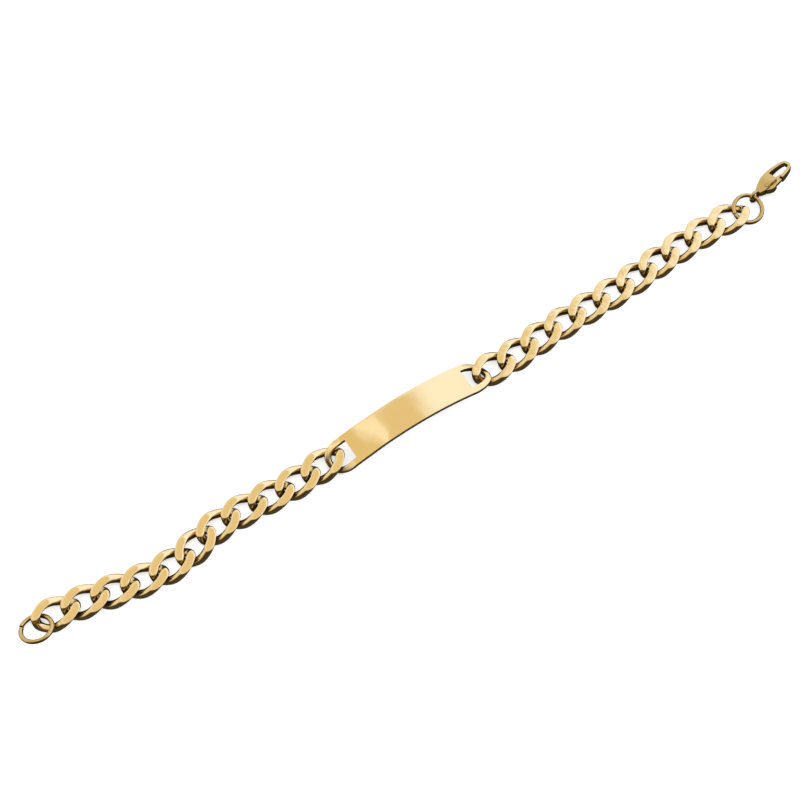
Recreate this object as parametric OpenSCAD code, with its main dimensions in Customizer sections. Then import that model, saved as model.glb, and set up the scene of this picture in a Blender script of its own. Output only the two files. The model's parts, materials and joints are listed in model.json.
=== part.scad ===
// Curb chain identity bracelet, open and laid out in one line on a flat surface.
// +X runs along the bracelet from the free ring to the clasp, +Z is up, z = 0 is the surface.

/* [Links] */
// Length of a link over its two ends
link_l = 11.05; // [10.9:0.05:11.5]
// Width of a link across the chain
link_w = 7.8; // [7.6:0.1:8.2]
// Thickness of a link between its two ground faces
link_t = 2.3; // [2.1:0.1:2.6]
// Width of the links' wire across its run, seen from above, as pressing leaves it
wire_w = 2.1; // [1.9:0.05:2.2]
// Height of the links' wire across its run, before its faces are ground
wire_d = 1.85; // [1.6:0.05:1.9]
// Twist of a link's ends out of its own plane, in degrees
link_twist = 48; // [44:1:52]
// Number of links on each side of the plate
side_links = 11; // [5:1:14]
// Slack left between two links on the free ring's side
left_slack = 0.23; // [0.06:0.01:0.3]
// Slack left between two links on the clasp's side
right_slack = 0.07; // [0.06:0.01:0.3]

/* [Plate] */
// Length of the plate from end to end, measured along its arch
plate_l = 43.4; // [40:0.2:50]
// Width of the plate
plate_w = 7.75; // [7.4:0.05:9]
// Thickness of the plate
plate_t = 1.2; // [1:0.1:1.3]
// Radius of the plate's arch, to the middle of its thickness
plate_r = 48.5; // [44:0.5:80]
// Length of the slot in each end, along the plate
slot_l = 5; // [4.6:0.1:5.6]
// Width of the slot in each end, across the plate
slot_w = 4.8; // [4.6:0.1:5.4]
// Radius of the slot's two square corners
slot_corner = 0.5; // [0.3:0.1:0.8]
// Width of the rounded bow that closes each slot, at its tip
bow_w = 1.35; // [1.2:0.05:1.4]
// Turn of each bow's tip out of the plate, in degrees
bow_twist = 20; // [12:1:24]
// Turn of the plate from the bracelet's line, in degrees
plate_yaw = -0.3; // [-3:0.1:2]

/* [Rings] */
// Outer diameter of the two jump rings
ring_d = 7.8; // [7.2:0.1:8.6]
// Diameter of the jump rings' wire
ring_wire = 1; // [0.8:0.05:1.1]
// Width of the cut in a jump ring
ring_cut = 0.12; // [0.05:0.01:0.3]

/* [Clasp] */
// Length of the clasp from the middle of its eye to its tip
clasp_l = 12.3; // [12:0.1:13.5]
// Width of the clasp's body
clasp_w = 4.15; // [4.1:0.05:4.8]
// Thickness of the clasp's body at its belly
clasp_t = 2.2; // [2.1:0.1:2.8]
// Thickness of the hook at the clasp's tip
tip_t = 1.3; // [1.2:0.1:1.8]
// Width of the hook's metal beside its opening
hook_w = 0.8; // [0.75:0.05:1.1]
// Outer diameter of the eye
eye_d = 3.3; // [3.2:0.1:3.8]
// Diameter of the eye's round wire
eye_wire = 0.8; // [0.7:0.05:0.9]
// Width and thickness of the neck between the eye and the body
neck_w = 1.4; // [1:0.1:1.6]
// Thickness of the lever's web between the cheeks
lever_t = 0.8; // [0.7:0.05:0.9]
// Thickness of the lever's thumb tab
tab_t = 1.5; // [1.3:0.1:1.7]
// Diameter of the lever's rivet
rivet_d = 0.8; // [0.7:0.05:0.9]
// Running clearance between the lever and what it moves beside
run_gap = 0.08; // [0.06:0.01:0.12]

/* [Hidden] */
// How each link lies, from the plate outwards: its turn from the bracelet's line, its roll, its climb
// towards the plate, and its step aside from the link before it
YAW = 0;
ROLL = 1;
CLIMB = 2;
ASIDE = 3;
left_lie = [
    [4, 1, 5, 0], [-1, 0, 0, 0.1], [-7, 0, 0, -0.2], [-5, 0, 0, -0.2], [5, 0, 0, 0.1], [17.5, 0, 0, 0],
    [1, 0, 0, 0], [-9, 0, 0, 0], [-14, 0, 0, 0], [-10, 0, 0, 0.1], [-9, 0, 0, 0]
];
right_lie = [
    [-3, 7, 3, 0], [5, 0, 0, 0], [4, 0, 0, -0.1], [2.5, 0, 0, -0.2], [0.5, 0, 0, -0.2], [1, 0, 0, -0.1],
    [3, 0, 0, 0], [3, 0, 0, 0.15], [3.5, 0, 0, 0], [0, 0, 0, -0.15], [-4, 0, 0, -0.05]
];
// Where an end link's middle lies from the middle of the bow it holds: outwards and across
left_hold = [1.55, 0.85];
right_hold = [2.35, -0.15];
// Height of the bows' middle
bow_z = 1.2;
// Shape of a link's oval: 2 would be an ellipse
oval_power = 2.3;
// Stations round a link, and the least angle from the top of its wire to the edge of a face
link_sides = 16;
face_angle = 30;
// Gap between two pieces that are held together
fit_gap = 0.03;

half_l = (link_l - wire_w) / 2;
half_w = (link_w - wire_w) / 2;
reach = link_l - 2 * wire_w;

function two_digits(n) = n < 10 ? str("0", n) : str(n);
function left_name(k) = str("left_link_", two_digits(side_links - k));
function right_name(k) = str("right_link_", two_digits(k + 1));

// Degrees in a radian
DEG = 180 / PI;

// The wire's middle line, by the angle round the link: an oval twisted about the chain's line
function oval(v, p) = sign(v) * pow(abs(v), 2 / p);
function wire_mid(a) =
    let (x = half_l * oval(cos(a), oval_power), y = half_w * oval(sin(a), oval_power))
    let (turn = -link_twist * x / half_l)
    [x, y * cos(turn), y * sin(turn)];

// Half angle of the face that grinding leaves on a wire whose middle lies `low` under the face
deepest_face = -0.9;
function face_half(low, rise) = max(face_angle, acos(max(deepest_face, min(1, low / rise))));

// One upright section of the ground wire: two corners on each face and one point on each side
look_ahead = 2;
function wire_section(a) =
    let (mid = wire_mid(a), step = wire_mid(a + look_ahead) - wire_mid(a - look_ahead))
    let (run = norm([step.x, step.y]), out = [step.y, -step.x] / run)
    let (r = wire_w / 2, rise = wire_d / 2 * norm(step) / run)
    let (top = face_half(link_t / 2 - mid.z, rise), low = face_half(link_t / 2 + mid.z, rise))
    let (side = (top + 180 - low) / 2)
    [for (t = [-top, top, side, 180 - low, 180 + low, -side])
        let (z = mid.z + rise * cos(t))
        [mid.x + out.x * r * sin(t), mid.y + out.y * r * sin(t), max(-link_t / 2, min(link_t / 2, z))]];

link_points = [for (i = [0:link_sides - 1]) for (p = wire_section(360 * i / link_sides)) p];

// Faces between n sections of m points each; the sections of a closed sweep meet again at its start
function sweep_faces(n, m, closed) = [
    for (i = [0:closed ? n - 1 : n - 2]) for (j = [0:m - 1])
        let (a = i * m + j, b = i * m + (j + 1) % m)
        let (far = (i + 1) % n, c = far * m + (j + 1) % m, d = far * m + j)
        for (tri = [[a, c, b], [a, d, c]]) tri
];

// The two chains: where their links meet, and where each link's middle lies
bow_angle = DEG * (plate_l - bow_w) / 2 / plate_r;
bow_at = plate_r * sin(bow_angle);
left_pitch = reach - left_slack;
right_pitch = reach - right_slack;

function lie(table, k) = table[min(k, len(table) - 1)];
function heading(a) = [cos(a), sin(a)];
function place(side, table, pitch, k) =
    k == 0 ? side * bow_at * heading(plate_yaw) + (side > 0 ? right_hold : [-left_hold.x, left_hold.y])
    : place(side, table, pitch, k - 1)
        + side * pitch / 2 * (heading(lie(table, k - 1)[YAW]) + heading(lie(table, k)[YAW]))
        + [0, lie(table, k)[ASIDE]];

// Height of a link's middle, so that its lowest point touches the surface
function link_z(side, roll, climb) = max([
    for (p = link_points) side * p.x * sin(climb) - cos(climb) * (p.y * sin(roll) + p.z * cos(roll))
]);
function link_mid(side, table, pitch, k) =
    let (at = place(side, table, pitch, k))
    [at.x, at.y, link_z(side, lie(table, k)[ROLL], lie(table, k)[CLIMB])];

// The left end's ring, the clasp's ring and the clasp, measured from the middle of their end link
ring_r = (ring_d - ring_wire) / 2;
ring_pull = 0.95;
ring_out = half_l + ring_r - wire_w / 2 - ring_wire / 2 - ring_pull;
// Shift of each ring's middle from there, along the bracelet, across it and up
catch_ring_shift = [0.44, -1.74, 0.57];
clasp_ring_shift = [0.1, -0.19, -0.03];
catch_ring_from = catch_ring_shift - [ring_out, 0, 0];
clasp_ring_from = clasp_ring_shift + [ring_out, 0, 0];
catch_ring_tilt = -20;
catch_ring_cut = 136;
clasp_ring_tilt = 10.5;
clasp_ring_cut = 170;
// Where the clasp's eye holds the ring's wire, and how the clasp lies
eye_angle = 30;
eye_shift = [0.06, 0.14, 0.18];
clasp_yaw = 12;
clasp_roll = -16;
clasp_climb = 1.6;

last_left = link_mid(-1, left_lie, left_pitch, side_links - 1);
last_right = link_mid(1, right_lie, right_pitch, side_links - 1);
left_turn = lie(left_lie, side_links - 1)[YAW];
right_turn = lie(right_lie, side_links - 1)[YAW];

function turned(v, a) = [v.x * cos(a) - v.y * sin(a), v.x * sin(a) + v.y * cos(a), v.z];
eye_from = clasp_ring_from + ring_r * [
    cos(eye_angle), sin(eye_angle) * cos(clasp_ring_tilt), sin(eye_angle) * sin(clasp_ring_tilt)
];
catch_ring_mid = last_left + turned(catch_ring_from, left_turn);
clasp_ring_mid = last_right + turned(clasp_ring_from, right_turn);
eye_mid = last_right + turned(eye_from, right_turn) + turned(eye_shift, clasp_yaw);
clasp_tip = eye_mid + turned([clasp_l, 0, 0], clasp_yaw);

// The middle of the whole on the surface, which is brought to the origin
link_places = [
    for (k = [0:side_links - 1])
        for (mid = [link_mid(-1, left_lie, left_pitch, k), link_mid(1, right_lie, right_pitch, k)]) mid.y
];
middle = [
    (catch_ring_mid.x - ring_d / 2 + clasp_tip.x) / 2,
    (min(link_places) - link_w / 2 + max(max(link_places) + link_w / 2, clasp_tip.y + clasp_w / 4)) / 2,
    0
];

module chain_link(side, table, pitch, k) {
    color("goldenrod")
    translate(link_mid(side, table, pitch, k) - middle)
        rotate([lie(table, k)[ROLL], side * lie(table, k)[CLIMB], lie(table, k)[YAW]])
            polyhedron(link_points, sweep_faces(link_sides, len(link_points) / link_sides, true));
}

// The arched plate: a slab cut off square in its slots, and a twisted bow that closes each slot.
// A bow starts after a straight run of rail, reaches back into it and lies a hair inside its faces
rail_run = 0.5;
bow_tuck = 0.4;
bow_sunk = 0.02;
bow_sides = 10;
bow_power = 2.4;
bow_bevel = 0.3;
least_bevel = 0.2;
arch_middle = plate_r * cos(bow_angle);
slot_start = plate_l / 2 - bow_w - slot_l;
bow_start = slot_start + slot_corner + rail_run;
rail_w = (plate_w - slot_w) / 2;

// The bow's middle line in the flat: along one rail, round the end and back along the other
bow_reach = plate_l / 2 - bow_w / 2 - bow_start;
rail_y = (plate_w - rail_w) / 2;
bow_line = concat(
    [[bow_start - bow_tuck, -rail_y]],
    [for (i = [0:bow_sides])
        let (a = 180 * i / bow_sides - 90)
        [bow_start + bow_reach * oval(cos(a), bow_power), rail_y * oval(sin(a), bow_power)]],
    [[bow_start - bow_tuck, rail_y]]
);
function round_tip(i) = i < 1 || i > bow_sides + 1 ? 0 : cos(180 * (i - 1) / bow_sides - 90);
function bow_side(i) =
    let (a = bow_line[max(0, i - 1)], b = bow_line[min(len(bow_line) - 1, i + 1)], d = (b - a) / norm(b - a))
    [d.y, -d.x];

// One section of the bow, turned out of the plate and laid on the arch
function on_arch(p) =
    let (a = DEG * p.x / plate_r)
    [(plate_r + p.z) * sin(a), p.y, (plate_r + p.z) * cos(a) - arch_middle];
function twisted(p) =
    let (a = -bow_twist * max(0, min(1, (p.x - bow_start) / bow_reach)))
    [p.x, p.y * cos(a) - p.z * sin(a), p.y * sin(a) + p.z * cos(a)];
function bow_section(i) =
    let (mid = bow_line[i], out = bow_side(i))
    let (w = (rail_w + (bow_w - rail_w) * round_tip(i)) / 2 - bow_sunk, h = plate_t / 2 - bow_sunk)
    let (c = bow_bevel * (least_bevel + (1 - least_bevel) * round_tip(i)))
    [for (q = [
        [w - c, h], [w, h - c], [w, c - h], [w - c, -h],
        [c - w, -h], [-w, c - h], [-w, h - c], [c - w, h]
    ]) on_arch(twisted([mid.x + out.x * q.x, mid.y + out.y * q.x, q.y]))];
bow_points = [for (i = [0:len(bow_line) - 1]) for (p = bow_section(i)) p];
bow_faces = concat(
    sweep_faces(len(bow_line), 8, false),
    [[for (j = [0:7]) j], [for (j = [7:-1:0]) len(bow_points) - 8 + j]]
);

module rounded_rectangle(l, w, r) {
    square([l - 2 * r, w], center = true);
    square([l, w - 2 * r], center = true);
    for (x = [-1, 1]) for (y = [-1, 1])
        translate([x * (l / 2 - r), y * (w / 2 - r)]) circle(r, $fn = 32);
}

module slab() {
    half_angle = DEG * bow_start / plate_r;
    rotate([90, 0, 0])
        rotate_extrude(angle = 2 * half_angle, start = 90 - half_angle, $fn = 240)
            translate([plate_r - plate_t / 2, -plate_w / 2]) square([plate_t, plate_w]);
}

module id_plate() {
    color("gold")
    translate([0, 0, bow_z] - middle)
    rotate([0, 0, plate_yaw]) {
        difference() {
            translate([0, 0, -arch_middle]) slab();
            for (side = [-1, 1])
                translate([side * (on_arch([slot_start, 0, 0]).x + slot_l / 2), 0, -plate_r])
                    linear_extrude(2 * plate_r) rounded_rectangle(slot_l, slot_w, slot_corner);
        }
        for (turn = [0, 180]) rotate([0, 0, turn]) polyhedron(bow_points, bow_faces);
    }
}

// The jump rings, each with its cut
module jump_ring(cut_at) {
    rotate([0, 0, cut_at]) difference() {
        rotate_extrude($fn = 64) translate([ring_r, 0]) circle(d = ring_wire, $fn = 24);
        translate([0, -ring_cut / 2, -ring_wire]) cube([ring_r + ring_wire, ring_cut, 2 * ring_wire]);
    }
}

module catch_ring() {
    color("khaki") translate(catch_ring_mid - middle)
        rotate([catch_ring_tilt, 0, left_turn]) jump_ring(catch_ring_cut);
}

module clasp_ring() {
    color("khaki") translate(clasp_ring_mid - middle)
        rotate([clasp_ring_tilt, 0, right_turn]) jump_ring(clasp_ring_cut);
}

// The clasp lies along its own x, from the middle of its eye at 0 to its tip, lever towards -y.
// Its outline and its thickness by the share s of the body's length, from the neck to the blunt tip,
// whose outline is an ellipse at a power of 2
neck_in = 0.5;
neck_x = eye_d / 2 - neck_in;
belly_share = 0.42;
tip_power = 2.7;
neck_share = neck_w / clasp_w;
body_l = clasp_l - neck_x;
function share(x) = (x - neck_x) / body_l;
function rise_to_belly(s) = sin(90 * s / belly_share);
function past_belly(s) = (s - belly_share) / (1 - belly_share);
function outline_share(s) =
    s > belly_share ? oval(max(0, 1 - pow(past_belly(s), tip_power)), 2 * tip_power)
    : neck_share + (1 - neck_share) * rise_to_belly(s);
function outline_y(x) = clasp_w / 2 * outline_share(share(x));
function body_thick(x) =
    let (s = share(x))
    s < belly_share ? neck_w + (clasp_t - neck_w) * rise_to_belly(s)
    : tip_t + (clasp_t - tip_t) * (1 + cos(180 * past_belly(s))) / 2;

// A closed shape between two curves over the same stations
module between(xs, upper, lower) {
    n = len(xs);
    polygon(concat(
        [for (i = [0:n - 1]) [xs[i], upper[i]]],
        [for (i = [n - 1:-1:0]) if (upper[i] != lower[i]) [xs[i], lower[i]]]
    ));
}
function stations(from, to, n) = [for (i = [0:n]) from + (to - from) * i / n];

outline_steps = 18;
body_xs = [for (i = [0:outline_steps]) neck_x + body_l * (1 - cos(180 * i / outline_steps)) / 2];

module clasp_solid() {
    half_ys = [for (x = body_xs) outline_y(x)];
    half_zs = [for (x = body_xs) body_thick(x) / 2];
    intersection() {
        translate([0, 0, -clasp_t]) linear_extrude(2 * clasp_t) between(body_xs, half_ys, -half_ys);
        translate([0, clasp_w, 0]) rotate([90, 0, 0])
            linear_extrude(2 * clasp_w) between(body_xs, half_zs, -half_zs);
    }
}

// Stations of the clasp: the lever's recess, the mouth that the lever closes, its nose and its rivet
recess_start = 2.4;
recess_slope = 2.2;
cheek_cut = 0.9;
mouth_start = 6.7;
mouth_end = 7.7;
nose_end = 8.3;
nose_t = 0.5;
rivet_at = [3.6, -0.7];
slot_past_mouth = 0.3;
slot_depth = 0.6;
lever_slot = lever_t + 2 * run_gap;
curve_steps = 12;

function bared(x) = cheek_cut * min(1, (x - recess_start) / recess_slope);
function hook_inside(x) = outline_y(x) - hook_w;

module opening_outline() {
    far = clasp_l - hook_w;
    xs = [for (i = [0:curve_steps]) mouth_start + (far - mouth_start) * sin(90 * i / curve_steps)];
    ys = [for (x = xs) hook_inside(x)];
    between(xs, ys, -ys);
}

module recess_outline() {
    xs = stations(recess_start, mouth_end, curve_steps);
    between(xs, [for (x = xs) bared(x) - outline_y(x)], [for (x = xs) -clasp_w]);
}

module clasp_eye() {
    rotate([90, 0, 0]) rotate_extrude($fn = 48)
        translate([(eye_d - eye_wire) / 2, 0]) circle(d = eye_wire, $fn = 24);
}

module rivet_hole(room) {
    translate([rivet_at.x, rivet_at.y, -clasp_t]) cylinder(h = 2 * clasp_t, d = rivet_d + 2 * room, $fn = 32);
}

module clasp_shape() {
    difference() {
        clasp_solid();
        translate([0, 0, -clasp_t]) linear_extrude(2 * clasp_t) {
            opening_outline();
            recess_outline();
            translate([mouth_start, -clasp_w]) square([mouth_end - mouth_start, clasp_w]);
        }
        translate([recess_start, -clasp_w, -lever_slot / 2])
            cube([mouth_start - recess_start + slot_past_mouth, clasp_w + slot_depth, lever_slot]);
        rivet_hole(fit_gap);
    }
    clasp_eye();
}

// The lever: an arm between the cheeks, a nose that closes on the hook's inside, and a thumb tab
lever_depth = 1.5;
lever_boss = 0.95;
lever_in = 0.02;
mouth_gap = 0.22;
tab_start = 2.6;
tab_l = 2.7;
tab_out = 0.42;
tab_edge = 0.08;
tab_clear = 0.06;
tab_root = 0.3;
tab_steps = 6;

module lever_arm() {
    xs = stations(rivet_at.x, mouth_end - mouth_gap, curve_steps);
    outer = [for (x = xs) lever_in - outline_y(x)];
    between(xs, outer + [for (x = xs) lever_depth], outer);
}

module lever_nose() {
    xs = stations(mouth_end - mouth_gap, nose_end, 2);
    outer = [for (x = xs) run_gap - hook_inside(x)];
    between(xs, outer + [for (x = xs) nose_t], outer);
}

// The tab stands outside the cheeks, so that it clears them when the lever is pressed
module thumb_tab() {
    xs = stations(tab_start, tab_start + tab_l, tab_steps);
    foot = [for (x = xs) -outline_y(x) - tab_clear];
    crest = [for (i = [0:tab_steps]) tab_edge + tab_out * sin(180 * i / tab_steps)];
    translate([0, 0, -tab_t / 2]) linear_extrude(tab_t) between(xs, foot, foot - crest);
    translate([0, 0, -lever_t / 2]) linear_extrude(lever_t)
        between(xs, foot + [for (x = xs) tab_root], foot - crest / 2);
}

module lever_shape() {
    difference() {
        union() {
            translate([0, 0, -lever_t / 2]) linear_extrude(lever_t) {
                lever_arm();
                lever_nose();
                translate(rivet_at) circle(lever_boss, $fn = 32);
            }
            thumb_tab();
        }
        rivet_hole(run_gap);
    }
}

module at_clasp() {
    translate(eye_mid - middle) rotate([clasp_roll, -clasp_climb, clasp_yaw]) children();
}

module clasp_body() {
    color("goldenrod") at_clasp() clasp_shape();
}

module clasp_lever() {
    color("khaki") at_clasp() lever_shape();
}

module clasp_rivet() {
    h = body_thick(rivet_at.x) - fit_gap;
    color("darkgoldenrod") at_clasp()
        translate([rivet_at.x, rivet_at.y, -h / 2]) cylinder(h = h, d = rivet_d, $fn = 32);
}

id_plate();
for (k = [0:side_links - 1]) {
    chain_link(-1, left_lie, left_pitch, k);
    chain_link(1, right_lie, right_pitch, k);
}
catch_ring();
clasp_ring();
clasp_body();
clasp_lever();
clasp_rivet();
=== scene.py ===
"""Dresses a curb chain identity bracelet, lying open in one line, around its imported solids."""
import json
import logging
import math
from dataclasses import dataclass
from enum import Enum
from typing import Callable, Iterable

import bpy
from mathutils import Euler, Matrix, Vector


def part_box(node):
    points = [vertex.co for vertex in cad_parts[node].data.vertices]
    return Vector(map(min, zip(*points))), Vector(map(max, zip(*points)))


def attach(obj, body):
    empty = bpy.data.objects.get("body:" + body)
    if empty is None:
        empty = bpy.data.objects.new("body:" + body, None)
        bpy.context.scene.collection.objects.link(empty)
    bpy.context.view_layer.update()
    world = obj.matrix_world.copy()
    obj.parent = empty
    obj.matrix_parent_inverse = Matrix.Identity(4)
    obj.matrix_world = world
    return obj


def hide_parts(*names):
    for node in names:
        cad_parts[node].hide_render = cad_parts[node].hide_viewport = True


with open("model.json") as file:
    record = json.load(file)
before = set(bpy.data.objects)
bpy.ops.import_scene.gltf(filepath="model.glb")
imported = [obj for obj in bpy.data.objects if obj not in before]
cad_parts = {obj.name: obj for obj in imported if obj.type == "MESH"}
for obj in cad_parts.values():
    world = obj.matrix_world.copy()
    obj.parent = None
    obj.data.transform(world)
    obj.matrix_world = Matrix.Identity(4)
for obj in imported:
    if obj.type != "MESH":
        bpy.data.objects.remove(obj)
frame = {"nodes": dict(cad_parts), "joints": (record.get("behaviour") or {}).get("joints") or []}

MM = 0.001
LOG = logging.getLogger("bracelet")
ROOT = "bracelet"
LEVER = "lever"


class Slot(Enum):
    """Material slots of the record."""

    LINK = "link_gold"
    PLATE = "plate_gold"
    RING = "ring_gold"
    CLASP = "clasp_gold"


@dataclass(frozen=True)
class GoldFinish:
    """A polished or ground gold surface.

    Attributes:
        name: Name of the material.
        colour: Linear colour of the metal.
        shade: Linear colour that it drifts to in soft patches.
        rough: Least and greatest roughness.
        patch: Size of the soft patches, in millimetres.
        grain: Size of the grain across its run, in millimetres.
        run: How many times longer than wide the grain is, along the bracelet.
        depth: Depth of the grain, in millimetres.
        wave: Depth of the soft waves that polishing leaves, in millimetres.
        patch_detail: Octaves of the patches.
        grain_detail: Octaves of the grain.
        noise_band: The values of the grain that have the least and the greatest roughness.
    """

    name: str
    colour: tuple[float, float, float]
    shade: tuple[float, float, float]
    rough: tuple[float, float]
    patch: float
    grain: float
    run: float
    depth: float
    wave: float
    patch_detail: float = 2
    grain_detail: float = 4
    noise_band: tuple[float, float] = (0.3, 0.7)

    def material(self) -> bpy.types.Material:
        """Makes the node material.

        Returns:
            The new material.
        """
        made = bpy.data.materials.new(self.name)
        made.use_nodes = True
        nodes, links = made.node_tree.nodes, made.node_tree.links
        shader = nodes["Principled BSDF"]
        shader.inputs["Metallic"].default_value = 1
        place = nodes.new("ShaderNodeTexCoord").outputs["Object"]
        patches = self._noise(nodes, links, place, self.patch, 1, self.patch_detail)
        grain = self._noise(nodes, links, place, self.grain, self.run, self.grain_detail)
        tint = nodes.new("ShaderNodeMix")
        tint.data_type = "RGBA"
        tint.inputs["A"].default_value = (*self.colour, 1)
        tint.inputs["B"].default_value = (*self.shade, 1)
        links.new(patches, tint.inputs["Factor"])
        links.new(tint.outputs["Result"], shader.inputs["Base Color"])
        rough = nodes.new("ShaderNodeMapRange")
        rough.inputs["From Min"].default_value = self.noise_band[0]
        rough.inputs["From Max"].default_value = self.noise_band[1]
        rough.inputs["To Min"].default_value = self.rough[0]
        rough.inputs["To Max"].default_value = self.rough[1]
        links.new(grain, rough.inputs["Value"])
        links.new(rough.outputs["Result"], shader.inputs["Roughness"])
        waves = self._bump(nodes, links, patches, self.wave)
        scratches = self._bump(nodes, links, grain, self.depth)
        links.new(waves.outputs["Normal"], scratches.inputs["Normal"])
        links.new(scratches.outputs["Normal"], shader.inputs["Normal"])
        return made

    @staticmethod
    def _noise(
        nodes: bpy.types.Nodes, links: bpy.types.NodeLinks, place: bpy.types.NodeSocket,
        size: float, run: float, detail: float,
    ) -> bpy.types.NodeSocket:
        """Adds a noise, stretched along the bracelet.

        Args:
            nodes: Nodes of the material.
            links: Links of the material.
            place: The coordinates that it reads.
            size: Size of its features, in millimetres.
            run: How many times longer they are along the bracelet.
            detail: Octaves.

        Returns:
            The socket that gives its value.
        """
        stretch = nodes.new("ShaderNodeMapping")
        stretch.inputs["Scale"].default_value = (1 / run, 1, 1)
        noise = nodes.new("ShaderNodeTexNoise")
        noise.inputs["Scale"].default_value = 1 / (size * MM)
        noise.inputs["Detail"].default_value = detail
        links.new(place, stretch.inputs["Vector"])
        links.new(stretch.outputs["Vector"], noise.inputs["Vector"])
        return noise.outputs["Fac"]

    @staticmethod
    def _bump(
        nodes: bpy.types.Nodes, links: bpy.types.NodeLinks, height: bpy.types.NodeSocket, depth: float,
    ) -> bpy.types.Node:
        """Adds a bump that follows a noise.

        Args:
            nodes: Nodes of the material.
            links: Links of the material.
            height: The socket that gives the noise.
            depth: Depth of the relief, in millimetres.

        Returns:
            The bump node.
        """
        bump = nodes.new("ShaderNodeBump")
        bump.inputs["Strength"].default_value = 1
        bump.inputs["Distance"].default_value = depth * MM
        links.new(height, bump.inputs["Height"])
        return bump


GOLD = (0.62, 0.48, 0.25)
GOLD_SHADE = (0.60, 0.44, 0.21)
# Painted shade: a darker copy of the link gold, which the rings and the clasp wear so that they look
# darker than the chain; its patches drift darker still.
PAINTED_SHADE_GOLD = (0.50, 0.35, 0.14)
PAINTED_SHADE_GOLD_DRIFT = (0.36, 0.24, 0.085)
WIRE_POLISH = GoldFinish(
    "polished wire", GOLD, GOLD_SHADE, rough=(0.12, 0.18),
    patch=3, grain=0.12, run=2, depth=0.0003, wave=0.1,
)
GROUND_FACE = GoldFinish(
    "ground link face", GOLD, GOLD_SHADE, rough=(0.13, 0.19),
    patch=3, grain=0.09, run=3, depth=0.0002, wave=0.16,
)
PLATE_POLISH = GoldFinish(
    "polished plate", GOLD, GOLD_SHADE, rough=(0.09, 0.13),
    patch=8, grain=0.06, run=12, depth=0.0001, wave=0.12,
)
# The ring wire and the casting take the darker gold with its painted shade.
RING_POLISH = GoldFinish(
    "polished ring wire", PAINTED_SHADE_GOLD, PAINTED_SHADE_GOLD_DRIFT, rough=(0.10, 0.16),
    patch=3, grain=0.1, run=1, depth=0.0003, wave=0.05,
)
CAST_POLISH = GoldFinish(
    "polished casting", PAINTED_SHADE_GOLD, PAINTED_SHADE_GOLD_DRIFT, rough=(0.12, 0.2),
    patch=2, grain=0.15, run=1, depth=0.0006, wave=0.12,
)


def clear_selection() -> None:
    """Leaves edit mode and deselects every object."""
    if bpy.context.object and bpy.context.object.mode != "OBJECT":
        leave_edit()
    bpy.ops.object.select_all(action="DESELECT")


def take(piece: bpy.types.Object) -> None:
    """Selects one object alone and makes it active.

    Args:
        piece: The object.
    """
    clear_selection()
    piece.select_set(True)
    bpy.context.view_layer.objects.active = piece


def named(name: str) -> bpy.types.Object:
    """Names the active object and its data.

    Args:
        name: Their new name.

    Returns:
        The active object.
    """
    piece = bpy.context.object
    piece.name = name
    piece.data.name = name
    return piece


def edit(piece: bpy.types.Object, select: str = "SELECT") -> None:
    """Takes an object into edit mode with all of its mesh selected, or none.

    Args:
        piece: The mesh object.
        select: What is done with the mesh, SELECT or DESELECT.
    """
    take(piece)
    bpy.ops.object.mode_set(mode="EDIT")
    bpy.ops.mesh.select_all(action=select)


def leave_edit() -> None:
    """Goes back to object mode."""
    bpy.ops.object.mode_set(mode="OBJECT")


def cut_away_faces(piece: bpy.types.Object, test: Callable[[Vector], bool]) -> None:
    """Deletes the faces whose middle passes a test.

    Args:
        piece: The mesh object.
        test: Says of a face's middle whether the face goes.
    """
    edit(piece, "DESELECT")
    bpy.ops.mesh.select_mode(type="FACE")
    leave_edit()
    for face in piece.data.polygons:
        face.select = test(face.center)
    bpy.ops.object.mode_set(mode="EDIT")
    bpy.ops.mesh.delete(type="FACE")
    leave_edit()


def turn_outwards(piece: bpy.types.Object) -> None:
    """Makes every face of a mesh point outwards.

    Args:
        piece: The mesh object.
    """
    edit(piece)
    bpy.ops.mesh.normals_make_consistent(inside=False)
    leave_edit()


def move_points(piece: bpy.types.Object, rule: Callable[[Vector], Vector]) -> None:
    """Moves every vertex of a mesh by a rule.

    Args:
        piece: The mesh object.
        rule: Gives the new place of a vertex from its old one.
    """
    for vertex in piece.data.vertices:
        vertex.co = rule(vertex.co)
    piece.data.update()


def add_modifier(piece: bpy.types.Object, kind: str, **settings: object) -> None:
    """Adds a modifier with its settings and applies it.

    Args:
        piece: The mesh object.
        kind: Blender's name of the modifier.
        settings: Its settings.
    """
    take(piece)
    made = piece.modifiers.new(kind.title(), kind)
    for key, value in settings.items():
        setattr(made, key, value)
    bpy.ops.object.modifier_apply(modifier=made.name)


def soften_edges(piece: bpy.types.Object, width: float, segments: int, angle: float) -> None:
    """Rounds the edges sharper than an angle.

    Args:
        piece: The mesh object.
        width: Width of the rounding, in metres.
        segments: Steps across it.
        angle: Least angle of an edge that is rounded, in degrees.
    """
    add_modifier(
        piece, "BEVEL", width=width, segments=segments, limit_method="ANGLE",
        angle_limit=math.radians(angle), use_clamp_overlap=True,
    )


def wear_round(piece: bpy.types.Object, voxel: float, passes: int) -> None:
    """Gives a closed mesh small even cells and smooths them, as tumbling wears edges round.

    Args:
        piece: The mesh object.
        voxel: Size of the cells, in metres.
        passes: How often they are smoothed.
    """
    piece.data.remesh_voxel_size = voxel
    take(piece)
    bpy.ops.object.voxel_remesh()
    add_modifier(piece, "SMOOTH", iterations=passes)


def shade(piece: bpy.types.Object, angle: float) -> None:
    """Shades a mesh smooth except over edges sharper than an angle in degrees."""
    take(piece)
    bpy.ops.object.shade_smooth_by_angle(angle=math.radians(angle))


def copy_mesh(source: bpy.types.Object, name: str) -> bpy.types.Object:
    """Copies an object with its own mesh, free of any body.

    Args:
        source: The object.
        name: Name of the copy and its mesh.

    Returns:
        The copy.
    """
    made = bpy.data.objects.new(name, source.data.copy())
    made.data.name = name
    bpy.context.scene.collection.objects.link(made)
    return made


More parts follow.
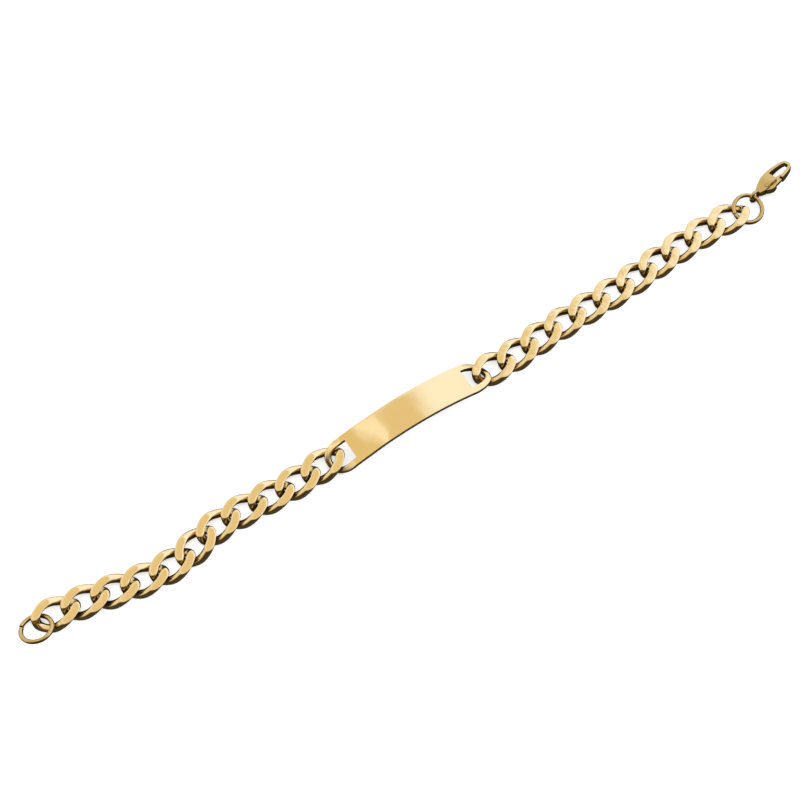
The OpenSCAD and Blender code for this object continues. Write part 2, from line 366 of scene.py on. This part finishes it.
def dress(piece: bpy.types.Object, finishes: Iterable[bpy.types.Material]) -> None:
    """Puts finishes on a piece in place of those that it has.

    Args:
        piece: The mesh object.
        finishes: Its new materials, in order.
    """
    piece.data.materials.clear()
    for finish in finishes:
        piece.data.materials.append(finish)


def seat(piece: bpy.types.Object, node: str, body: str = ROOT) -> None:
    """Lets a piece stand for a solid and ride on its body.

    Args:
        piece: The finished piece, in place.
        node: The solid that it stands for.
        body: The body that it rides on.
    """
    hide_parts(node)
    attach(piece, body)


def lie_of(node: str) -> Matrix:
    """Reads where a solid lies from its own surface.

    A link, and a ring nearly so, looks the same after half a turn about each of its three axes, so
    the middle of its surface is its middle and its main axes are its own.

    Args:
        node: The solid.

    Returns:
        The matrix from a piece modelled flat at the origin, long side along x, to the solid's place.
    """
    mesh = frame["nodes"][node].data
    areas = [face.area for face in mesh.polygons]
    middle = sum((face.center * area for face, area in zip(mesh.polygons, areas)), Vector()) / sum(areas)
    spread = Matrix(((0, 0, 0),) * 3)
    for face, area in zip(mesh.polygons, areas):
        arm = face.center - middle
        for row in range(3):
            for col in range(3):
                spread[row][col] += area * arm[row] * arm[col]
    flat_axis = steady_axis(spread.inverted())
    if flat_axis.z < 0:
        flat_axis.negate()
    long_axis = steady_axis(spread)
    if long_axis.x < 0:
        long_axis.negate()
    across = flat_axis.cross(long_axis).normalized()
    turn = Matrix((across.cross(flat_axis), across, flat_axis)).transposed()
    return Matrix.Translation(middle) @ turn.to_4x4()


FIRST_GUESS = (1, 0.3, 0.2)
ROUNDS = 200


def steady_axis(spread: Matrix) -> Vector:
    """Finds the direction that a symmetric matrix stretches most, by stretching a guess many times.

    Args:
        spread: The matrix.

    Returns:
        The direction, one unit long.
    """
    axis = Vector(FIRST_GUESS)
    for _ in range(ROUNDS):
        axis = (spread @ axis).normalized()
    return axis


def oval(value: float, power: float) -> float:
    """Gives a superellipse's coordinate for the sine or cosine of its angle."""
    return math.copysign(abs(value) ** (2 / power), value)


@dataclass
class CurbLink:
    """A curb link: pressed wire bent to an oval, twisted, and ground flat above and below.

    Attributes:
        finishes: Gold of the wire's round sides, and of its ground faces.
        length: Length over the outside.
        width: Width over the outside, before the twist.
        thick: Height between the two ground faces.
        wire_width: Width of the wire, seen from above.
        wire_height: Height of the wire before grinding.
        twist: Turn of each end about the link's long axis, in degrees.
        power: Squareness of the oval, where 2 is an ellipse.
        stations: Sections round the link.
        wire_sides: Sides of a section.
        step: Angle on each side of a section that gives its direction, in radians.
        cut_tolerance: Distance from a ground face that counts as on it.
        voxel: Size of the rounded mesh's cells.
        passes: How often they are smoothed.
        ground_normal: Least upright part of the normal of a face that is ground flat.
        smooth_angle: Greatest angle that is shaded smooth, in degrees.
    """

    finishes: list[bpy.types.Material]
    length: float = 11.05 * MM
    width: float = 7.8 * MM
    thick: float = 2.3 * MM
    wire_width: float = 2.1 * MM
    wire_height: float = 1.85 * MM
    twist: float = 48
    power: float = 2.3
    stations: int = 112
    wire_sides: int = 24
    step: float = 0.03
    cut_tolerance: float = 0.0001 * MM
    voxel: float = 0.11 * MM
    passes: int = 60
    ground_normal: float = 0.998
    smooth_angle: float = 60

    def wire_line(self, angle: float) -> Vector:
        """Gives a point of the wire's middle line.

        Args:
            angle: Angle of the point round the link, in radians.

        Returns:
            The point.
        """
        reach = (self.length - self.wire_width) / 2
        along = reach * oval(math.cos(angle), self.power)
        aside = (self.width - self.wire_width) / 2 * oval(math.sin(angle), self.power)
        turn = -math.radians(self.twist) * along / reach
        return Vector((along, aside * math.cos(turn), aside * math.sin(turn)))

    def swept(self, point: Vector) -> Vector:
        """Moves a point of a plain torus to the twisted link.

        Args:
            point: A point on the surface of the torus that the link starts as.

        Returns:
            The same point in an upright section of the link's wire.
        """
        angle = math.atan2(point.y, point.x)
        round_wire = math.atan2(point.xy.length - self.length / 2, point.z)
        run = self.wire_line(angle + self.step) - self.wire_line(angle - self.step)
        out = Vector((run.y, -run.x, 0)).normalized()
        rise = self.wire_height / 2 * run.length / run.xy.length
        around = out * self.wire_width / 2 * math.sin(round_wire)
        return self.wire_line(angle) + around + Vector((0, 0, rise * math.cos(round_wire)))

    def model(self, name: str) -> bpy.types.Object:
        """Sweeps the wire round the link, grinds both faces and rounds their edges.

        Args:
            name: The piece's name.

        Returns:
            The link, flat at the origin with its long side along x.
        """
        clear_selection()
        bpy.ops.mesh.primitive_torus_add(
            major_radius=self.length / 2, minor_radius=self.wire_height / 2,
            major_segments=self.stations, minor_segments=self.wire_sides,
        )
        link = named(name)
        move_points(link, self.swept)
        for side in (-1, 1):
            edit(link)
            bpy.ops.mesh.bisect(
                plane_co=(0, 0, side * self.thick / 2), plane_no=(0, 0, side),
                clear_outer=True, use_fill=True, threshold=self.cut_tolerance,
            )
            leave_edit()
        turn_outwards(link)
        wear_round(link, self.voxel, self.passes)
        shade(link, self.smooth_angle)
        dress(link, self.finishes)
        for face in link.data.polygons:
            face.material_index = int(abs(face.normal.z) > self.ground_normal)
        return link


@dataclass
class Chain:
    """The links of one side of the plate.

    Attributes:
        side: Side of the plate, left or right.
        count: Number of its links.
    """

    side: str
    count: int = 11

    def lay(self, pattern: bpy.types.Object) -> None:
        """Copies the pattern link to the place of each solid of this side.

        Args:
            pattern: The link, modelled flat at the origin.
        """
        for number in range(1, self.count + 1):
            node = f"{self.side}_link_{number:02d}"
            link = copy_mesh(pattern, f"curb_{node}")
            link.data.transform(lie_of(node))
            lowest = min(vertex.co.z for vertex in link.data.vertices)
            link.data.transform(Matrix.Translation((0, 0, max(0, -lowest))))
            seat(link, node)
        LOG.info("%s chain: %d links", self.side, self.count)


@dataclass
class NamePlate:
    """The bare arched plate, whose slots are closed by rounded, twisted bows.

    Attributes:
        finishes: Gold of the plate.
        length: Length along the flat plate, with its bows.
        width: Width over its long edges.
        thick: Thickness.
        radius: Radius of the arch, at the middle of the thickness.
        slot_length: Length of each slot.
        slot_width: Width of each slot.
        bow_width: Width of the bow at its tip, past the slot.
        bow_twist: Turn of each bow's tip about the long axis, in degrees.
        bow_power: Squareness of the bow, where 2 is an ellipse.
        rail_run: Length of the slot's straight sides before the bow starts.
        yaw: Turn of the whole plate about the upright axis, in degrees.
        columns: Cells of the flat grid along the plate.
        rows: Cells of the flat grid across the plate.
        edge: Width of the rounding of all edges.
        edge_steps: Steps across it.
        edge_angle: Least angle of an edge that is rounded, in degrees.
        bow_round: Rounding of the bow at its tip.
        on_rim: Distance from the bow's end side that counts as on it.
        roll_width: Width of the strip along the far edge that polishing has rolled over.
        roll_drop: Drop of that strip at the edge.
        dent_at: Place of the soft twist along the plate.
        dent_size: Distance from there over which it fades.
        dent_twist: Slope of the twist, in height for each square metre off its middle.
        dent_sink: Share of its rise by which the twist is sunk, to stay under the plate's top.
        smooth_angle: Greatest angle that is shaded smooth, in degrees.
    """

    finishes: list[bpy.types.Material]
    length: float = 43.4 * MM
    width: float = 7.75 * MM
    thick: float = 1.2 * MM
    radius: float = 48.5 * MM
    slot_length: float = 5 * MM
    slot_width: float = 4.8 * MM
    bow_width: float = 1.35 * MM
    bow_twist: float = 20
    bow_power: float = 2.4
    rail_run: float = 1.0 * MM
    yaw: float = -0.3
    columns: int = 217
    rows: int = 42
    edge: float = 0.09 * MM
    edge_steps: int = 3
    edge_angle: float = 60
    bow_round: float = 0.45 * MM
    on_rim: float = 0.000001 * MM
    roll_width: float = 1.0 * MM
    roll_drop: float = 0.08 * MM
    dent_at: float = -10.5 * MM
    dent_size: float = 5 * MM
    dent_twist: float = -11
    dent_sink: float = 0.25
    smooth_angle: float = 40

    def __post_init__(self) -> None:
        """Works out where the slots and the bows start."""
        self.slot_end: float = self.length / 2 - self.bow_width
        self.slot_start: float = self.slot_end - self.slot_length
        self.bow_start: float = self.slot_start + self.rail_run

    def snap(self, point: Vector) -> Vector:
        """Puts the grid's nearest columns and rows on the slot's edges.

        Args:
            point: A point of the even grid.

        Returns:
            Its place, with both slots' edges followed.
        """
        moved = point.copy()
        for edge in (self.slot_start, self.slot_end):
            if abs(abs(point.x) - edge) < self.length / self.columns / 2:
                moved.x = math.copysign(edge, point.x)
        if abs(abs(point.y) - self.slot_width / 2) < self.width / self.rows / 2:
            moved.y = math.copysign(self.slot_width / 2, point.y)
        return moved

    def in_slot(self, point: Vector) -> bool:
        """Says whether a place of the flat plate is in a slot."""
        return self.slot_start < abs(point.x) < self.slot_end and abs(point.y) < self.slot_width / 2

    def eased(self, share: float) -> float:
        """Eases a share of a square's side, so that its corner comes to the oval's diagonal."""
        diagonal = 0.5 ** (1 / self.bow_power)
        return share * (1 - (1 - diagonal) * share ** 2)

    def oval_height(self, share: float) -> float:
        """Gives the height of the bow's oval over a share of its half width."""
        return max(0.0, 1 - abs(share) ** self.bow_power) ** (1 / self.bow_power)

    def rounded_end(self, point: Vector) -> tuple[Vector, float, float]:
        """Bends the square end of the flat plate to its rounded bow.

        Args:
            point: A place of the flat plate with square ends.

        Returns:
            Its place with rounded ends, its distance from the nearest outline, and how near it is
            to the bow's tip, from 0 to 1.
        """
        past = abs(point.x) - self.bow_start
        if past <= 0:
            return point.copy(), self.width, 0.0
        slot_reach = self.slot_end - self.bow_start
        rail_width = (self.width - self.slot_width) / 2
        past_slot = (past - slot_reach) / self.bow_width
        beside_slot = (abs(point.y) - self.slot_width / 2) / rail_width
        ring = max(past_slot, beside_slot)
        reach = slot_reach + self.bow_width * ring
        half = self.slot_width / 2 + rail_width * ring
        if past >= reach - self.on_rim:
            across = self.eased(point.y / half)
            along = self.oval_height(across)
        else:
            along = self.eased(past / reach)
            across = math.copysign(self.oval_height(along), point.y)
        place = Vector((math.copysign(self.bow_start + reach * along, point.x), half * across, point.z))
        wall = self.bow_width + (rail_width - self.bow_width) * abs(across)
        return place, max(0.0, min(ring, 1 - ring) * wall), along

    def unevenness(self, place: Vector) -> float:
        """Gives how much polishing moved a place up: its rolled long edge and one soft twist.

        Args:
            place: A place of the flat plate.

        Returns:
            The height, which is never above the plate's top.
        """
        rolled = max(0.0, 1 - (self.width / 2 - place.y) / self.roll_width)
        off = place.x - self.dent_at
        faded = math.exp(-(off / self.dent_size) ** 2)
        twist = self.dent_twist * off * place.y * faded
        sunk = self.dent_sink * abs(self.dent_twist * self.dent_size * self.width) * faded
        return min(0.0, twist - sunk) - self.roll_drop * rolled ** 2

    def shape(self, point: Vector) -> Vector:
        """Rounds, twists and arches a place of the flat plate.

        Args:
            point: A place of the flat plate with square ends.

        Returns:
            Its place on the arched plate, with the arch's centre at the origin.
        """
        place, rim, tip = self.rounded_end(point)
        rounding = self.bow_round * tip
        if rim < rounding:
            crown = self.thick / 2 - rounding + math.sqrt(rounding ** 2 - (rounding - rim) ** 2)
            place.z = math.copysign(min(abs(place.z), crown), place.z)
        reach = self.length / 2 - self.bow_width / 2 - self.bow_start
        share = max(0.0, min(1.0, (abs(place.x) - self.bow_start) / reach))
        turn = -math.radians(self.bow_twist) * math.copysign(share, place.x)
        place.z += self.unevenness(place)
        twisted = Matrix.Rotation(turn, 3, "X") @ place
        arc = twisted.x / self.radius
        height = self.radius + twisted.z
        return Vector((height * math.sin(arc), twisted.y, height * math.cos(arc)))

    def place(self) -> Matrix:
        """Gives the matrix from the arch's centre at the origin to the solid's place.

        Returns:
            The matrix.
        """
        low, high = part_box("id_plate")
        middle = (low + high) / 2
        centre = Matrix.Translation((middle.x, middle.y, high.z - self.radius - self.thick / 2))
        return centre @ Matrix.Rotation(math.radians(self.yaw), 4, "Z")

    def model(self, name: str) -> bpy.types.Object:
        """Cuts the slots in a flat grid, thickens it, rounds its edges and arches it.

        Args:
            name: The piece's name.

        Returns:
            The plate, in its solid's place.
        """
        clear_selection()
        bpy.ops.mesh.primitive_grid_add(x_subdivisions=self.columns, y_subdivisions=self.rows, size=1)
        plate = named(name)
        size = Vector((self.length, self.width, 0))
        move_points(plate, lambda point: self.snap(point * size))
        cut_away_faces(plate, self.in_slot)
        add_modifier(plate, "SOLIDIFY", thickness=self.thick, offset=0)
        soften_edges(plate, self.edge, self.edge_steps, self.edge_angle)
        move_points(plate, self.shape)
        plate.data.transform(self.place())
        turn_outwards(plate)
        shade(plate, self.smooth_angle)
        dress(plate, self.finishes)
        return plate

    def build(self) -> None:
        """Makes the plate."""
        seat(self.model("name_plate"), "id_plate")
        LOG.info("name plate")


@dataclass
class JumpRing:
    """A ring of round wire with its two ends almost meeting.

    Attributes:
        node: The solid that it stands for.
        finishes: Gold of the ring.
        cut_at: Angle of the cut round the ring, in degrees.
        step: How far each end stands off the ring's plane.
        outside: Outer diameter.
        wire: Diameter of the wire.
        gap: Angle that the cut takes, in degrees.
        wire_sides: Sides of the wire's section.
        stations: Sections round the ring.
        end_round: Rounding of the cut ends, as a share of the wire.
        end_steps: Steps across that rounding.
        smooth_angle: Greatest angle that is shaded smooth or left unrounded, in degrees.
    """

    node: str
    finishes: list[bpy.types.Material]
    cut_at: float
    step: float
    outside: float = 7.8 * MM
    wire: float = 1 * MM
    gap: float = 2.5
    wire_sides: int = 32
    stations: int = 128
    end_round: float = 0.06
    end_steps: int = 2
    smooth_angle: float = 50

    def model(self, name: str) -> bpy.types.Object:
        """Spins the wire's section round and steps its two ends apart.

        Args:
            name: The piece's name.

        Returns:
            The ring, in its solid's place.
        """
        middle = (self.outside - self.wire) / 2
        clear_selection()
        bpy.ops.mesh.primitive_circle_add(
            vertices=self.wire_sides, radius=self.wire / 2, fill_type="NGON",
            location=(middle, 0, 0), rotation=(math.pi / 2, 0, 0),
        )
        ring = named(name)
        bpy.ops.object.transform_apply(location=True, rotation=True, scale=True)
        edit(ring)
        bpy.ops.mesh.spin(
            steps=self.stations, angle=math.radians(360 - self.gap), center=(0, 0, 0), axis=(0, 0, 1),
        )
        leave_edit()
        turn_outwards(ring)
        soften_edges(ring, self.wire * self.end_round, self.end_steps, self.smooth_angle)
        move_points(ring, self.stepped)
        ring.data.transform(self.place())
        shade(ring, self.smooth_angle)
        dress(ring, self.finishes)
        return ring

    def stepped(self, point: Vector) -> Vector:
        """Lifts the wire steadily from one end to the other, most of it near the ends."""
        turn = math.atan2(point.y, point.x) % math.tau / math.tau * 2 - 1
        return point + Vector((0, 0, self.step * turn ** 3))

    def place(self) -> Matrix:
        """Gives the matrix to the solid's place, with the cut at its angle round the ring.

        Returns:
            The matrix.
        """
        lie = lie_of(self.node)
        flat = lie.to_3x3() @ Vector((0, 0, 1))
        along = Vector((1, 0, 0))
        along = (along - flat * along.dot(flat)).normalized()
        turn = Matrix((along, flat.cross(along), flat)).transposed().to_4x4()
        cut = Matrix.Rotation(math.radians(self.cut_at), 4, "Z")
        return Matrix.Translation(lie.translation) @ turn @ cut

    def build(self) -> None:
        """Makes the ring."""
        seat(self.model(f"jump_{self.node}"), self.node)
        LOG.info("%s", self.node)


@dataclass
class LobsterClasp:
    """The lobster claw: its cast body, its lever and its rivet.

    Attributes:
        finishes: Gold of the clasp.
        yaw: Turn of the clasp about the upright axis, in degrees.
        roll: Turn about its own long axis, in degrees.
        climb: Rise of its tip, in degrees.
        weld: Distance under which a solid's points are joined.
        body_voxel: Size of the body's cells.
        body_passes: How often the body is smoothed.
        lever_voxel: Size of the lever's cells.
        lever_passes: How often the lever is smoothed.
        cast_angle: Greatest angle that is shaded smooth on body and lever, in degrees.
        rivet_d: Diameter of the rivet.
        rivet_h: Height of the rivet over both heads.
        rivet_sides: Sides of the rivet.
        head_round: Rounding of the rivet's heads, as a share of its diameter.
        head_steps: Steps across that rounding.
        head_edge: Least angle of an edge that is rounded, in degrees.
        rivet_angle: Greatest angle that is shaded smooth on the rivet, in degrees.
    """

    finishes: list[bpy.types.Material]
    yaw: float = 12
    roll: float = -16
    climb: float = 1.6
    weld: float = 0.001 * MM
    body_voxel: float = 0.07 * MM
    body_passes: int = 6
    lever_voxel: float = 0.05 * MM
    lever_passes: int = 4
    cast_angle: float = 60
    rivet_d: float = 0.8 * MM
    rivet_h: float = 2.1 * MM
    rivet_sides: int = 48
    head_round: float = 0.15
    head_steps: int = 4
    head_edge: float = 60
    rivet_angle: float = 40

    def cast(self, name: str, node: str, voxel: float, passes: int, body: str) -> None:
        """Rounds a copy of a solid as casting and tumbling do.

        Args:
            name: The piece's name.
            node: The solid.
            voxel: Size of the new mesh's cells.
            passes: How often it is smoothed.
            body: The body that it rides on.
        """
        piece = copy_mesh(frame["nodes"][node], name)
        edit(piece)
        bpy.ops.mesh.remove_doubles(threshold=self.weld)
        leave_edit()
        turn_outwards(piece)
        wear_round(piece, voxel, passes)
        shade(piece, self.cast_angle)
        dress(piece, self.finishes)
        seat(piece, node, body)

    def rivet(self) -> None:
        """Makes the rivet with its two rounded heads, on the lever's hinge."""
        clear_selection()
        bpy.ops.mesh.primitive_cylinder_add(
            vertices=self.rivet_sides, radius=self.rivet_d / 2, depth=self.rivet_h,
        )
        piece = named("claw_rivet")
        soften_edges(piece, self.rivet_d * self.head_round, self.head_steps, self.head_edge)
        hinge = Vector(frame["joints"][0]["pos_m"])
        angles = (math.radians(self.roll), -math.radians(self.climb), math.radians(self.yaw))
        piece.data.transform(Matrix.Translation(hinge) @ Euler(angles, "XYZ").to_matrix().to_4x4())
        shade(piece, self.rivet_angle)
        dress(piece, self.finishes)
        seat(piece, "clasp_rivet")

    def build(self) -> None:
        """Makes the body with its hook and its eye, the lever with its thumb tab, and the rivet."""
        self.cast("claw_body", "clasp_body", self.body_voxel, self.body_passes, ROOT)
        self.cast("claw_lever", "clasp_lever", self.lever_voxel, self.lever_passes, LEVER)
        self.rivet()
        LOG.info("lobster claw: body, lever and rivet")


@dataclass(frozen=True)
class SkyPatch:
    """A soft-edged patch of the light that the bracelet mirrors.

    Attributes:
        name: What stands there.
        towards: Direction of its middle.
        reach: Half of its size along x, y and z, where the whole sky has a radius of 1.
        soft: Share of its size over which its edge fades.
        colour: Its light.
    """

    name: str
    towards: tuple[float, float, float]
    reach: tuple[float, float, float]
    soft: float
    colour: tuple[float, float, float]

    def lay(
        self, nodes: bpy.types.Nodes, links: bpy.types.NodeLinks, direction: bpy.types.NodeSocket,
        under: bpy.types.NodeSocket,
    ) -> bpy.types.NodeSocket:
        """Lays the patch over the sky so far.

        Args:
            nodes: Nodes of the world.
            links: Links of the world.
            direction: The direction that is looked in.
            under: The sky so far.

        Returns:
            The sky with the patch.
        """
        away = nodes.new("ShaderNodeVectorMath")
        away.operation = "SUBTRACT"
        away.inputs[1].default_value = Vector(self.towards).normalized()
        share = nodes.new("ShaderNodeVectorMath")
        share.operation = "DIVIDE"
        share.inputs[1].default_value = self.reach
        length = nodes.new("ShaderNodeVectorMath")
        length.operation = "LENGTH"
        fade = nodes.new("ShaderNodeMapRange")
        fade.interpolation_type = "SMOOTHSTEP"
        fade.inputs["From Min"].default_value = 1 + self.soft
        fade.inputs["From Max"].default_value = 1 - self.soft
        mix = nodes.new("ShaderNodeMix")
        mix.data_type = "RGBA"
        mix.inputs["B"].default_value = (*self.colour, 1)
        links.new(direction, away.inputs[0])
        links.new(away.outputs[0], share.inputs[0])
        links.new(share.outputs[0], length.inputs[0])
        links.new(length.outputs["Value"], fade.inputs["Value"])
        links.new(fade.outputs["Result"], mix.inputs["Factor"])
        links.new(under, mix.inputs["A"])
        return mix.outputs["Result"]


SKY = (1.38, 1.386, 1.276)
SKY_PATCHES = [
    SkyPatch(
        "window", towards=(0.82, 0.2, 0.55), reach=(0.62, 0.9, 0.5),
        soft=0.3, colour=(1.68, 1.83, 2.3),
    ),
    SkyPatch(
        "dark room in front", towards=(-0.5, -0.86, 0.09), reach=(1.06, 1.06, 1.06),
        soft=0.2, colour=(0.10, 0.07, 0.035),
    ),
    SkyPatch(
        "overhead shade", towards=(0.12, 0.25, 0.92), reach=(0.21, 0.27, 0.9),
        soft=0.22, colour=(1.3, 1.16, 0.86),
    ),
    SkyPatch(
        "bright strip", towards=(-0.125, 0.35, 0.92), reach=(0.05, 0.4, 0.9),
        soft=0.3, colour=(1.725, 1.706, 1.76),
    ),
    SkyPatch(
        "upper left shade", towards=(-0.33, 0.35, 0.88), reach=(0.11, 0.4, 0.9),
        soft=0.2, colour=(1.275, 1.133, 0.748),
    ),
]


@dataclass
class Studio:
    """The pale floor, the soft light and the camera.

    Attributes:
        azimuth: Side from which the camera looks, in degrees.
        elevation: Angle of its view above the floor, in degrees.
        distance: Its distance from what it looks at.
        look_at: The point that it looks at.
        lens: Its focal length, in millimetres.
        sensor: Width of its sensor, in millimetres.
        near: Nearest distance that it sees, in metres.
        far: Farthest distance that it sees, in metres.
        floor_size: Length of the floor's sides, in metres.
        floor_white: Brightness of the floor.
        floor_rough: Roughness of the floor.
        floor_glow: Its own light towards the camera, which makes it a plain white there.
        painted_shade_until: Place along y up to which the floor, as the metal mirrors it, is darkened by
            painted shade.
        painted_light_from: Place along y from which the floor, as the metal mirrors it, is brightened by
            painted light.
        mirrored_painted_shade: Brightness of the painted shade.
        mirrored_painted_light: Brightness of the painted light, which is above the floor's own white.
        soft_light: Light that matt surfaces get from all sides.
    """

    azimuth: float = -33.67
    elevation: float = 65
    distance: float = 430 * MM
    look_at: tuple[float, float, float] = (-6.13 * MM, 3.70 * MM, 0)
    lens: float = 86.65
    sensor: float = 36
    near: float = 0.01
    far: float = 50
    floor_size: float = 6
    floor_white: float = 0.9
    floor_rough: float = 0.9
    floor_glow: float = 0.5
    painted_shade_until: float = 4 * MM
    painted_light_from: float = 8 * MM
    mirrored_painted_shade: float = 0.10
    mirrored_painted_light: float = 1.2
    soft_light: float = 0.95

    def camera(self) -> None:
        """Sets the camera at the photograph's angle."""
        turn, lift = math.radians(self.azimuth), math.radians(self.elevation)
        back = Vector((math.sin(turn) * math.cos(lift), -math.cos(turn) * math.cos(lift), math.sin(lift)))
        data = bpy.data.cameras.new("camera")
        data.lens = self.lens
        data.sensor_width = self.sensor
        data.clip_start = self.near
        data.clip_end = self.far
        made = bpy.data.objects.new("camera", data)
        bpy.context.scene.collection.objects.link(made)
        made.location = Vector(self.look_at) + back * self.distance
        made.rotation_mode = "QUATERNION"
        made.rotation_quaternion = back.to_track_quat("Z", "Y")
        bpy.context.scene.camera = made

    def paper(self) -> bpy.types.Material:
        """Makes the floor's white, with painted shade on its front side and painted light behind, which
        only the metal's reflections see.

        Returns:
            The new material.
        """
        finish = bpy.data.materials.new("white floor")
        finish.use_nodes = True
        nodes, links = finish.node_tree.nodes, finish.node_tree.links
        shader = nodes["Principled BSDF"]
        shader.inputs["Roughness"].default_value = self.floor_rough
        shader.inputs["Specular IOR Level"].default_value = 0
        shader.inputs["Emission Color"].default_value = (1, 1, 1, 1)
        place = nodes.new("ShaderNodeTexCoord")
        split = nodes.new("ShaderNodeSeparateXYZ")
        # Painted shade and painted light: glossy rays see the floor darkened in front of the bracelet,
        # standing in for its shadow, and brightened behind it beyond the floor's own white.
        mirrored = nodes.new("ShaderNodeMapRange")
        mirrored.inputs["From Min"].default_value = self.painted_shade_until
        mirrored.inputs["From Max"].default_value = self.painted_light_from
        mirrored.inputs["To Min"].default_value = self.mirrored_painted_shade
        mirrored.inputs["To Max"].default_value = self.mirrored_painted_light
        ray = nodes.new("ShaderNodeLightPath")
        colour = nodes.new("ShaderNodeMix")
        colour.data_type = "RGBA"
        colour.inputs["A"].default_value = (self.floor_white, self.floor_white, self.floor_white, 1)
        glow = nodes.new("ShaderNodeMath")
        glow.operation = "MULTIPLY"
        glow.inputs[1].default_value = self.floor_glow
        links.new(place.outputs["Object"], split.inputs["Vector"])
        links.new(split.outputs["Y"], mirrored.inputs["Value"])
        links.new(ray.outputs["Is Glossy Ray"], colour.inputs["Factor"])
        links.new(mirrored.outputs["Result"], colour.inputs["B"])
        links.new(colour.outputs["Result"], shader.inputs["Base Color"])
        links.new(ray.outputs["Is Camera Ray"], glow.inputs[0])
        links.new(glow.outputs["Value"], shader.inputs["Emission Strength"])
        return finish

    def floor(self) -> None:
        """Lays the white floor."""
        clear_selection()
        bpy.ops.mesh.primitive_plane_add(size=self.floor_size)
        plane = named("floor")
        dress(plane, [self.paper()])

    def sky(self) -> None:
        """Makes the light all round: white above and behind, a window on the right, a dark front."""
        world = bpy.data.worlds.new("studio")
        world.use_nodes = True
        bpy.context.scene.world = world
        nodes, links = world.node_tree.nodes, world.node_tree.links
        place = nodes.new("ShaderNodeTexCoord")
        plain = nodes.new("ShaderNodeRGB")
        plain.outputs[0].default_value = (*SKY, 1)
        so_far = plain.outputs[0]
        for patch in SKY_PATCHES:
            so_far = patch.lay(nodes, links, place.outputs["Generated"], so_far)
        ray = nodes.new("ShaderNodeLightPath")
        even = nodes.new("ShaderNodeMix")
        even.data_type = "RGBA"
        even.inputs["B"].default_value = (self.soft_light, self.soft_light, self.soft_light, 1)
        links.new(ray.outputs["Is Diffuse Ray"], even.inputs["Factor"])
        links.new(so_far, even.inputs["A"])
        links.new(even.outputs["Result"], nodes["Background"].inputs["Color"])

    def build(self) -> None:
        """Sets up the studio."""
        view = bpy.context.scene.view_settings
        view.view_transform = "Standard"
        view.look = "None"
        self.camera()
        self.floor()
        self.sky()
        LOG.info("studio: floor, sky with %d patches and camera", len(SKY_PATCHES))


def main() -> None:
    """Builds the studio and the bracelet in order."""
    logging.basicConfig(level=logging.INFO, format="%(message)s")
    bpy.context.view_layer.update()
    Studio().build()
    pattern = CurbLink([WIRE_POLISH.material(), GROUND_FACE.material()]).model("link_pattern")
    for side in ("left", "right"):
        Chain(side).lay(pattern)
    bpy.data.objects.remove(pattern)
    NamePlate([PLATE_POLISH.material()]).build()
    ring_finishes = [RING_POLISH.material()]
    JumpRing("catch_ring", ring_finishes, cut_at=136, step=0.16 * MM).build()
    JumpRing("clasp_ring", ring_finishes, cut_at=170, step=-0.06 * MM).build()
    LobsterClasp([CAST_POLISH.material()]).build()


if __name__ == "__main__":
    main()
